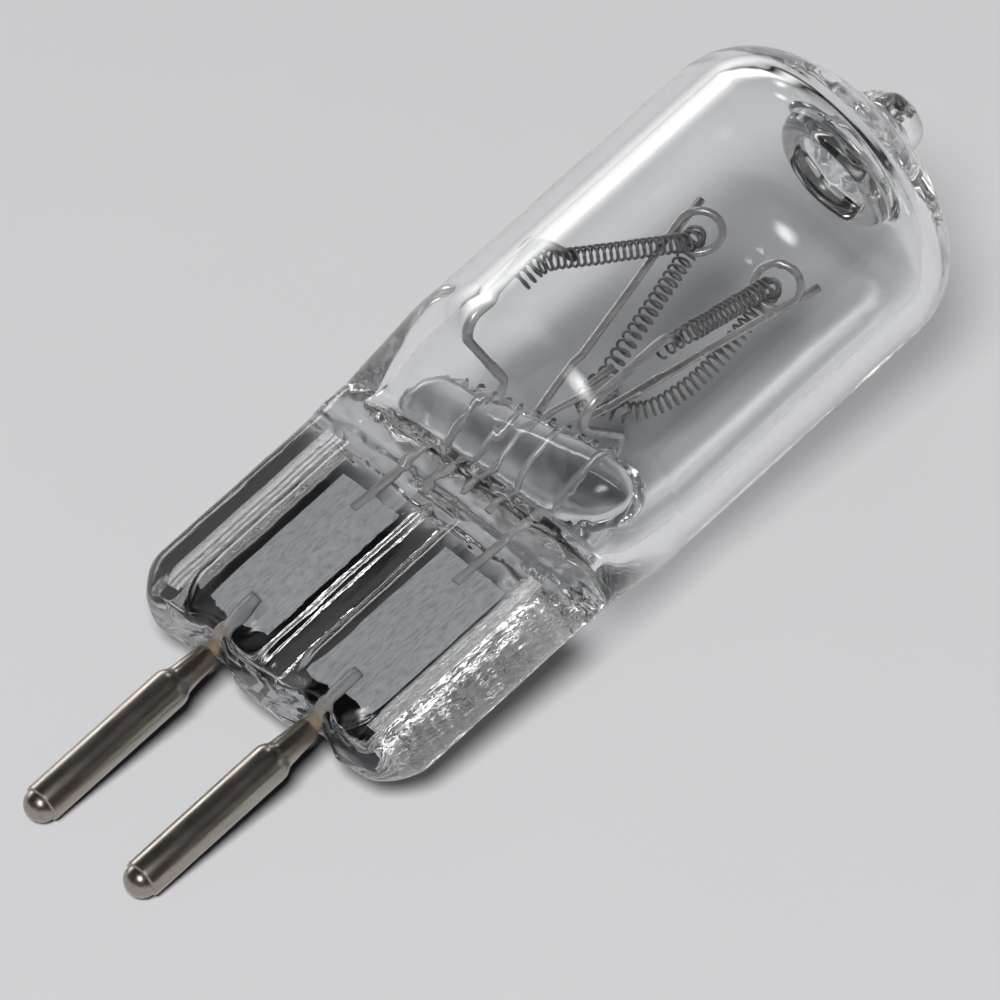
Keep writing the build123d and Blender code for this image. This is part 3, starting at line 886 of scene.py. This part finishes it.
WIRE_START, WIRE_END, WIRE_STEPS = 1.25, 11.8, 40
WIRE_HEATED = (0.0, 10.0, 0.5)
FLAT_START, FLAT_FULL = 10.4, 11.0
FLAT_PRESS, FLAT_WIDEN = 0.97, -0.2


class BULB_OT_outer_wires(Operator):
    """Make the wires from the pins into the pinch, flattened over the foils"""

    bl_idname = "bulb.outer_wires"
    bl_label = "Outer wires"

    def execute(self, context):
        material = metal_finish("heat_tinted_wire", WIRE_HEATED)
        reach = WIRE_END - WIRE_START
        steps = [WIRE_START + reach * i / WIRE_STEPS for i in range(WIRE_STEPS + 1)]
        for name, side in SIDES:
            w = side * mm("pin_gap") / 2
            piece = thread("wire_" + name, [place(a, w, 0) for a in steps], mm("outer_wire"), 6)
            for v in piece.data.vertices:
                spot = v.co - PIN_TIP
                height = spot.dot(UP)
                flat = smooth(FLAT_START, FLAT_FULL, spot.dot(ALONG) / MM)
                if height < 0:
                    v.co -= UP * height * flat * FLAT_PRESS
                v.co += ACROSS * (spot.dot(ACROSS) - w * MM) * FLAT_WIDEN * flat
            dress(piece, material, "heat_tinted_wire", "outer_lead_" + name)
        return {"FINISHED"}


FOIL_ROWS, FOIL_COLUMNS = 70, 32
FOIL_MIDDLE, FOIL_HALF, FOIL_LEVEL, FOIL_THICK = 14.35, 3.4, 0.04, 0.03
FOIL_RIPPLE, FOIL_FRAY = 0.004, 0.05
FOIL_CREASE = math.radians(40)


class BULB_OT_foils(Operator):
    """Make the thin foils in the pinch"""

    bl_idname = "bulb.foils"
    bl_label = "Foils"

    def execute(self, context):
        material = metal_finish("rolled_foil")
        grid = {"x_subdivisions": FOIL_ROWS, "y_subdivisions": FOIL_COLUMNS, "size": 2}
        for name, side in SIDES:
            piece = begin("leaf_" + name, bpy.ops.mesh.primitive_grid_add, **grid)
            for v in piece.data.vertices:
                x, y = v.co.x, v.co.y
                ripple = FOIL_RIPPLE * grain(1.0, x * 5, y * 2.2, 3 * side)
                fray = FOIL_FRAY * grain(6.0, y, side, 1) if abs(x) > 0.99 else 0.0
                w = side * mm("pin_gap") / 2 + mm("foil_width") / 2 * y
                v.co = place(FOIL_MIDDLE + FOIL_HALF * x + fray, w, ripple - FOIL_LEVEL)
            bpy.ops.object.modifier_add(type="SOLIDIFY")
            piece.modifiers[-1].thickness = FOIL_THICK * MM
            piece.modifiers[-1].offset = 0
            bpy.ops.object.modifier_apply(modifier=piece.modifiers[-1].name)
            bpy.ops.object.shade_smooth_by_angle(angle=FOIL_CREASE)
            dress(piece, material, "foil", "foil_" + name)
        return {"FINISHED"}


# Wires inside the bulb, in millimetres
RISE = 0.2
STUB = 1.75
RING_GAP = 0.05
RING_STEPS = 28
HOOK_STATION, HOOK_OUT, HOOK_FOOT, HOOK_TAIL = 34.05, 2.04, 1.33, 1.3
ANCHOR_STATION, ANCHOR_DROP, ANCHOR_TAIL = 26.75, 0.9, 0.9
COIL_GAP = 0.05
KINK_OUT = 0.13
SPUD_LENGTH, SPUD_LIFT, SPUD_END = 3.2, 0.2, 1.4
LEAD_START, LEAD_LIFT = 16.85, 0.1


def bridge_middle(w):
    """Station of the tilted bridge's middle line."""
    return mm("bridge_station") - w * math.tan(sizes().bridge_tilt)


def bridge_half():
    """Half the bridge's height along the bulb."""
    return mm("bridge_radius") / math.cos(sizes().bridge_tilt)


class Ring:
    """Support wire: it bends, runs up beside a ring, goes once round it and ends in a tail."""

    def __init__(self, w, centre, radius, inward, aside, tail):
        foot = Vector((bridge_middle(w) - bridge_half() - STUB, w, 0))
        corner = Vector((bridge_middle(w) + bridge_half() + RISE, w, 0))
        reach = centre - corner
        lean = math.asin(radius / reach.length)
        line = reach.normalized()
        square = (inward - line * inward.dot(line)).normalized()
        self.along = line * math.cos(lean) - square * math.sin(lean)
        into = square * math.cos(lean) + line * math.sin(lean)
        normal = self.along.cross(into)
        self.aside = normal * math.copysign(1, normal.dot(aside))
        lift = math.asin((2 * mm("support_radius") + RING_GAP) / (2 * radius))
        back = self.aside * math.sin(lift) - into * math.cos(lift)
        self.top = centre + self.along * radius
        far = centre + into * radius
        self.base = far + back * radius - self.along * radius
        self.line = rounded([foot, corner, centre - into * radius])[:-1]
        turns = [math.pi * i / RING_STEPS for i in range(RING_STEPS + 1)]
        for t in turns:
            across = centre - into * radius * math.cos(t)
            self.line.append(across + self.along * radius * math.sin(t))
        for t in turns[1:]:
            across = far + back * radius * (1 - math.cos(t))
            self.line.append(across - self.along * radius * math.sin(t))
        self.line.append(self.line[-1] + self.along * tail)


def hook_ring(side):
    """Ring of a hook support, leaning a little from the plane of the pins."""
    centre = Vector((HOOK_STATION, side * HOOK_OUT, 0))
    lean = sizes().hook_lean
    inward = Vector((0, -side * math.cos(lean), -side * math.sin(lean)))
    down = Vector((0, 0, -1))
    return Ring(side * HOOK_FOOT, centre, mm("hook_radius"), inward, down, HOOK_TAIL)


def anchor_ring():
    """Ring of the centre anchor, square to the coil's bottom bend."""
    centre = Vector((ANCHOR_STATION, 0, -ANCHOR_DROP))
    down, left = Vector((0, 0, -1)), Vector((0, 1, 0))
    return Ring(0, centre, mm("anchor_radius"), down, left, ANCHOR_TAIL)


def bend_radius():
    """Radius of the coil's middle line where it bends about a support wire."""
    return mm("coil_radius") + mm("coil_wire") + mm("support_radius") + COIL_GAP


BEND_ROWS = 24


def half_round(centre, first, second):
    """Half round from centre plus first, past centre plus second, to centre less first."""
    turns = [math.pi * i / BEND_ROWS for i in range(BEND_ROWS + 1)]
    return [centre + first * math.cos(t) + second * math.sin(t) for t in turns]


def hook_bend(side):
    """Half round of the coil about the near side of a hook ring, from above to below."""
    ring = hook_ring(side)
    return half_round(ring.base, -ring.aside * bend_radius(), ring.along * bend_radius())


def kink(side):
    """Upper bend of a lead."""
    height = mm("left_kink") if side > 0 else mm("right_kink")
    station = mm("bridge_station") + bridge_half() + RISE
    return Vector((station, side * (mm("pin_gap") / 2 + KINK_OUT), height))


def coil_start(side):
    """Place and direction of a lead's end inside the coil."""
    start = kink(side) + Vector((SPUD_LENGTH, 0, SPUD_LIFT))
    return start, (hook_bend(side)[0] - start).normalized()


class BULB_OT_inner_leads(Operator):
    """Make the leads from the foils through the bridge to the ends of the coil"""

    bl_idname = "bulb.inner_leads"
    bl_label = "Inner leads"

    def execute(self, context):
        material = metal_finish("grey_lead")
        for name, side in SIDES:
            w = side * mm("pin_gap") / 2
            spud, along = coil_start(side)
            foot = Vector((LEAD_START, w, LEAD_LIFT))
            corner = Vector((bridge_middle(w) + bridge_half() + RISE, w, 0))
            points = rounded([foot, corner, kink(side), spud, spud + along * SPUD_END])
            piece = thread("lead_" + name, [place(*p) for p in points], mm("lead_radius"), 5)
            dress(piece, material, "grey_wire", "inner_lead_" + name)
        return {"FINISHED"}


class BULB_OT_supports(Operator):
    """Make the hook supports and the centre anchor"""

    bl_idname = "bulb.supports"
    bl_label = "Hooks and anchor"

    def execute(self, context):
        material = metal_finish("grey_support")
        rows = [("hook_" + name, hook_ring(side), "hook_support_" + name) for name, side in SIDES]
        rows.append(("anchor", anchor_ring(), "centre_anchor"))
        for name, ring, node in rows:
            piece = thread(name, [place(*p) for p in ring.line], mm("support_radius"), 5)
            dress(piece, material, "grey_wire", node)
        return {"FINISHED"}


SAG_OUT, SAG_DOWN = 1.6, 0.7
SAG_STEPS = 40

# Pitch of the coil at its bends and on its hanging leg, in millimetres
LEFT_PITCH, ANCHOR_PITCH, SAG_PITCH, RIGHT_PITCH = 0.32, 0.46, 0.31, 0.3

# Coil on the left lead: distance back from the bend, negative past it, and pitch
FIRST_TURNS = ((1.3, 0.36), (0.3, 0.3), (-0.3, 0.3))

# Last leg of the coil, drawn out at its end: share of its length and pitch
LAST_TURNS = ((0.35, 0.28), (0.6, 0.29), (0.72, 0.44), (0.85, 0.56), (0.97, 0.5))


def coil_line():
    """Middle line of the coil with the pitch at each point, in millimetres."""
    start, along = coil_start(1)
    back = (kink(1) - start).normalized()
    rows = []
    for reach, pitch in FIRST_TURNS:
        rows.append((start + (back * reach if reach > 0 else along * -reach), pitch))
    rows += [(p, LEFT_PITCH) for p in hook_bend(1)]
    ring = anchor_ring()
    bend = half_round(ring.top, ring.aside * bend_radius(), -ring.along * bend_radius())
    rows += [(p, ANCHOR_PITCH) for p in bend[:BEND_ROWS // 2 + 1]]
    low = rows[-1][0]
    leg = hook_bend(-1)[::-1]
    top = leg[0]
    out = low + Vector((-mm("coil_radius"), -SAG_OUT, -SAG_DOWN))
    over = Vector(((out.x + top.x) / 2, top.y - mm("coil_radius"), out.z - SAG_DOWN))
    for i in range(1, SAG_STEPS):
        t = i / SAG_STEPS
        u = 1 - t
        spot = low * u**3 + out * (3 * t * u * u) + over * (3 * t * t * u) + top * t**3
        rows.append((spot, SAG_PITCH))
    rows += [(p, RIGHT_PITCH) for p in leg]
    end = coil_start(-1)[0]
    rows += [(leg[-1].lerp(end, part), pitch) for part, pitch in LAST_TURNS]
    return rows


LINE_STEP = 0.02
LINE_SPAN = 6
COIL_UNEVEN = 0.06


def coil_points():
    """Points of the coiled wire round its middle line."""
    step = 2 * math.pi / sizes().coil_steps
    line = coil_line()
    dense = []
    for (p, first), (q, last) in zip(line, line[1:]):
        length = (q - p).length
        count = max(1, math.ceil(length / LINE_STEP))
        for i in range(count):
            pitch = first + (last - first) * i / count
            dense.append((p.lerp(q, i / count), pitch, length / count))
    row = []
    angle = due = 0.0
    across = Vector((0, 1, 0))
    for i, (p, pitch, length) in enumerate(dense):
        angle += 2 * math.pi * length / pitch
        if angle < due:
            continue
        due += step
        before = dense[max(0, i - LINE_SPAN)][0]
        after = dense[min(len(dense) - 1, i + LINE_SPAN)][0]
        along = (after - before).normalized()
        across = (across - along * across.dot(along)).normalized()
        other = along.cross(across)
        radius = mm("coil_radius") * (1 + COIL_UNEVEN * grain(1.3, *p))
        middle = (p + before.lerp(after, 0.5)) / 2
        row.append(middle + (across * math.cos(angle) + other * math.sin(angle)) * radius)
    return row


class BULB_OT_filament(Operator):
    """Make the coiled filament"""

    bl_idname = "bulb.filament"
    bl_label = "Filament"

    def execute(self, context):
        piece = thread("coil", [place(*p) for p in coil_points()], mm("coil_wire") / 2, 2)
        dress(piece, metal_finish("drawn_tungsten"), "coil", "filament")
        return {"FINISHED"}


# Stage, in metres: the boards show in metal and glass alone, the lamp in neither
BULB_MIDDLE = Vector((0, 0, 0.007))
BOARDS = (
    ("back_board", (0.26, 0.95, 0.24), 2.4, 0.55, 5.5),
    ("key_board", (-0.65, -0.47, 1.05), 0.8, 0.8, 18.0),
    ("top_board", (0.53, 0.63, 0.87), 0.3, 0.3, 14.0),
    ("front_board", (0.8, -0.9, 0.5), 2.0, 1.0, 1.2),
)
LAMP_PLACE, LAMP_SIZE, LAMP_WATTS = (-0.62, -0.45, 1.0), 0.35, 22.0
FLOOR_SIZE = 6
ROOM_SHADE = (0.03, 0.031, 0.033, 1)
CAMERA_AZIMUTH, CAMERA_ELEVATION = math.radians(-43.9), math.radians(43.52)
CAMERA_DISTANCE, CAMERA_DROP = 0.45, 0.001963
CAMERA_LENS, CAMERA_SENSOR = 444.07, 36.0
CAMERA_CLIP = (0.01, 20.0)
GLASS_BOUNCES, SHADOW_BOUNCES = 96, 24


def face_bulb(piece, at, front):
    """Turns a lamp or board at a place so that its front faces the bulb."""
    piece.rotation_mode = "QUATERNION"
    piece.rotation_quaternion = (BULB_MIDDLE - Vector(at)).to_track_quat(front, "Y")


def soft_light(name):
    """Soft lamp that faces the bulb and is not mirrored in it."""
    lamp = begin(name, bpy.ops.object.light_add, type="AREA", location=LAMP_PLACE)
    lamp.data.shape = "ELLIPSE"
    lamp.data.size = lamp.data.size_y = LAMP_SIZE
    lamp.data.energy = LAMP_WATTS
    lamp.visible_glossy = lamp.visible_transmission = False
    face_bulb(lamp, LAMP_PLACE, "-Z")


def glow_board(name, at, wide, high, strength):
    """Board that faces the bulb and glows most in its middle, for highlights with soft edges."""
    board = begin(name, bpy.ops.mesh.primitive_plane_add, size=1)
    board.scale = (wide, high, 1)
    face_bulb(board, at, "Z")
    board.location = at
    bpy.ops.object.transform_apply(location=True, rotation=True, scale=True)
    f = Finish(name)
    uv = f.add("ShaderNodeTexCoord").outputs["UV"]
    centred = f.add("ShaderNodeMapping", Vector=uv, Location=(-1, -1, 0), Scale=(2, 2, 0))
    fall = f.add("ShaderNodeTexGradient", Vector=centred.outputs["Vector"])
    fall.gradient_type = "QUADRATIC_SPHERE"
    glow = f.range(fall.outputs["Fac"], (0.0, 0.8), (0.0, strength))
    light = f.add("ShaderNodeEmission", Strength=glow)
    f.links.new(light.outputs["Emission"], f.nodes["Material Output"].inputs["Surface"])
    board.data.materials.append(f.material)
    board.visible_camera = board.visible_diffuse = False


def pale_floor():
    """Plain floor with a hardly visible unevenness of tone."""
    floor = begin("floor", bpy.ops.mesh.primitive_plane_add, size=FLOOR_SIZE)
    f = Finish("pale_floor")
    shade = tuple(colours().floor)
    darker = [c * 0.985 for c in shade]
    body = f.ramp(f.noise(f.where(), scale=60.0, detail=3.0), [(0.3, darker), (0.7, shade)])
    f.set(Base_Color=body, Roughness=0.9, Specular_IOR_Level=0.0)
    floor.data.materials.append(f.material)


def stand_camera(scene):
    """Camera at the picture's viewing angle."""
    camera_data = bpy.data.cameras.new("camera")
    camera = bpy.data.objects.new("camera", camera_data)
    scene.collection.objects.link(camera)
    level = math.cos(CAMERA_ELEVATION)
    x, y = math.cos(CAMERA_AZIMUTH), math.sin(CAMERA_AZIMUTH)
    back = Vector((y * level, -x * level, math.sin(CAMERA_ELEVATION)))
    right = Vector((x, y, 0))
    up = back.cross(right)
    camera_data.lens = CAMERA_LENS
    camera_data.sensor_width = CAMERA_SENSOR
    camera_data.clip_start, camera_data.clip_end = CAMERA_CLIP
    camera.location = BULB_MIDDLE + back * CAMERA_DISTANCE - up * CAMERA_DROP
    camera.rotation_mode = "QUATERNION"
    camera.rotation_quaternion = (-back).to_track_quat("-Z", "Y")
    scene.camera = camera


class BULB_OT_stage(Operator):
    """Make the plain floor, the boards, the soft lamp and the camera"""

    bl_idname = "bulb.stage"
    bl_label = "Floor, lamp and camera"

    def execute(self, context):
        scene = context.scene
        pale_floor()
        world = bpy.data.worlds.new("room")
        scene.world = world
        world.use_nodes = True
        world.node_tree.nodes["Background"].inputs["Color"].default_value = ROOM_SHADE
        for board in BOARDS:
            glow_board(*board)
        soft_light("key_box")
        stand_camera(scene)
        scene.view_settings.view_transform = "Standard"
        cycles = scene.cycles
        cycles.max_bounces = cycles.transmission_bounces = cycles.glossy_bounces = GLASS_BOUNCES
        cycles.transparent_max_bounces = SHADOW_BOUNCES
        cycles.caustics_reflective = cycles.caustics_refractive = False
        return {"FINISHED"}


PIECES = (
    BULB_OT_envelope,
    BULB_OT_bridge,
    BULB_OT_pins,
    BULB_OT_outer_wires,
    BULB_OT_foils,
    BULB_OT_inner_leads,
    BULB_OT_supports,
    BULB_OT_filament,
    BULB_OT_stage,
)


class BULB_PT_panel(Panel):
    """Lists the bulb's pieces in the sidebar"""

    bl_idname = "BULB_PT_panel"
    bl_label = "Quartz capsule bulb"
    bl_space_type = "VIEW_3D"
    bl_region_type = "UI"
    bl_category = "Bulb"

    def draw(self, context):
        for piece in PIECES:
            self.layout.operator(piece.bl_idname)
        for group in (context.scene.bulb_sizes, context.scene.bulb_colours):
            for key in group.__annotations__:
                self.layout.prop(group, key)


CLASSES = (BulbSizes, BulbColours, *PIECES, BULB_PT_panel)


def register():
    for cls in CLASSES:
        bpy.utils.register_class(cls)
    bpy.types.Scene.bulb_sizes = PointerProperty(type=BulbSizes)
    bpy.types.Scene.bulb_colours = PointerProperty(type=BulbColours)


def unregister():
    del bpy.types.Scene.bulb_colours
    del bpy.types.Scene.bulb_sizes
    for cls in reversed(CLASSES):
        bpy.utils.unregister_class(cls)


def main():
    register()
    bpy.ops.bulb.envelope()
    bpy.ops.bulb.bridge()
    bpy.ops.bulb.pins()
    bpy.ops.bulb.outer_wires()
    bpy.ops.bulb.foils()
    bpy.ops.bulb.inner_leads()
    bpy.ops.bulb.supports()
    bpy.ops.bulb.filament()
    bpy.ops.bulb.stage()


if __name__ == "__main__":
    main()
